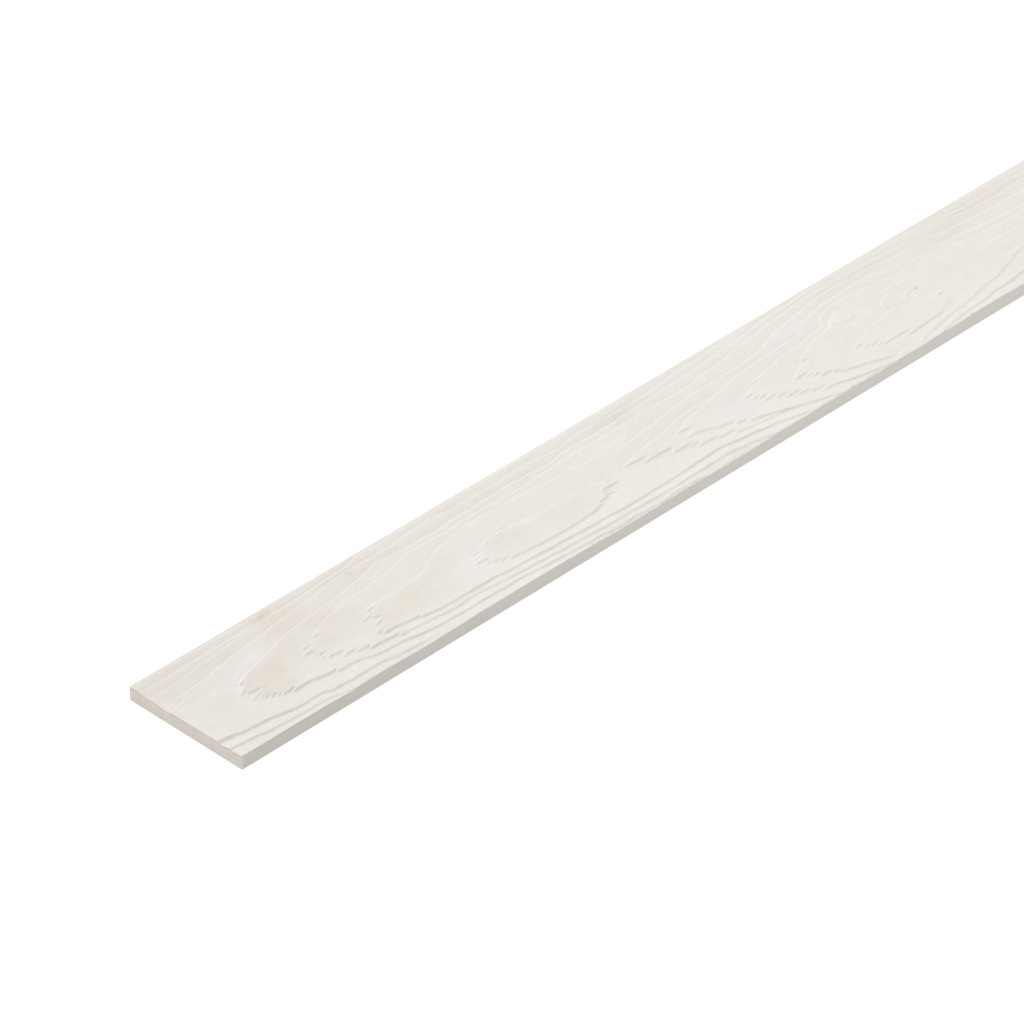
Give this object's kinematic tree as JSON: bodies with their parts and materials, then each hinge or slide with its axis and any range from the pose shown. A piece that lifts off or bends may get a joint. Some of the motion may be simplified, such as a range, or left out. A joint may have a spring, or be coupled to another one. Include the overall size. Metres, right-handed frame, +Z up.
{
  "type": "fibre cement trim strip",
  "caption": "Long flat fibre cement strip with a wood-grain embossed face and a plain back, fixed over joints and edges as trim or used as lath.",
  "frame": {"origin": "middle of the plain back face, which lies on the floor", "axes": "+X along the strip, +Y across it, +Z up out of the embossed face"},
  "size_m": [3, 0.075, 0.008],
  "materials": {
    "fibre_cement": "matt, off-white, wood-grain embossed face"
  },
  "bodies": {
    "root": {"trim_strip": "fibre_cement"}
  },
  "joints": []
}
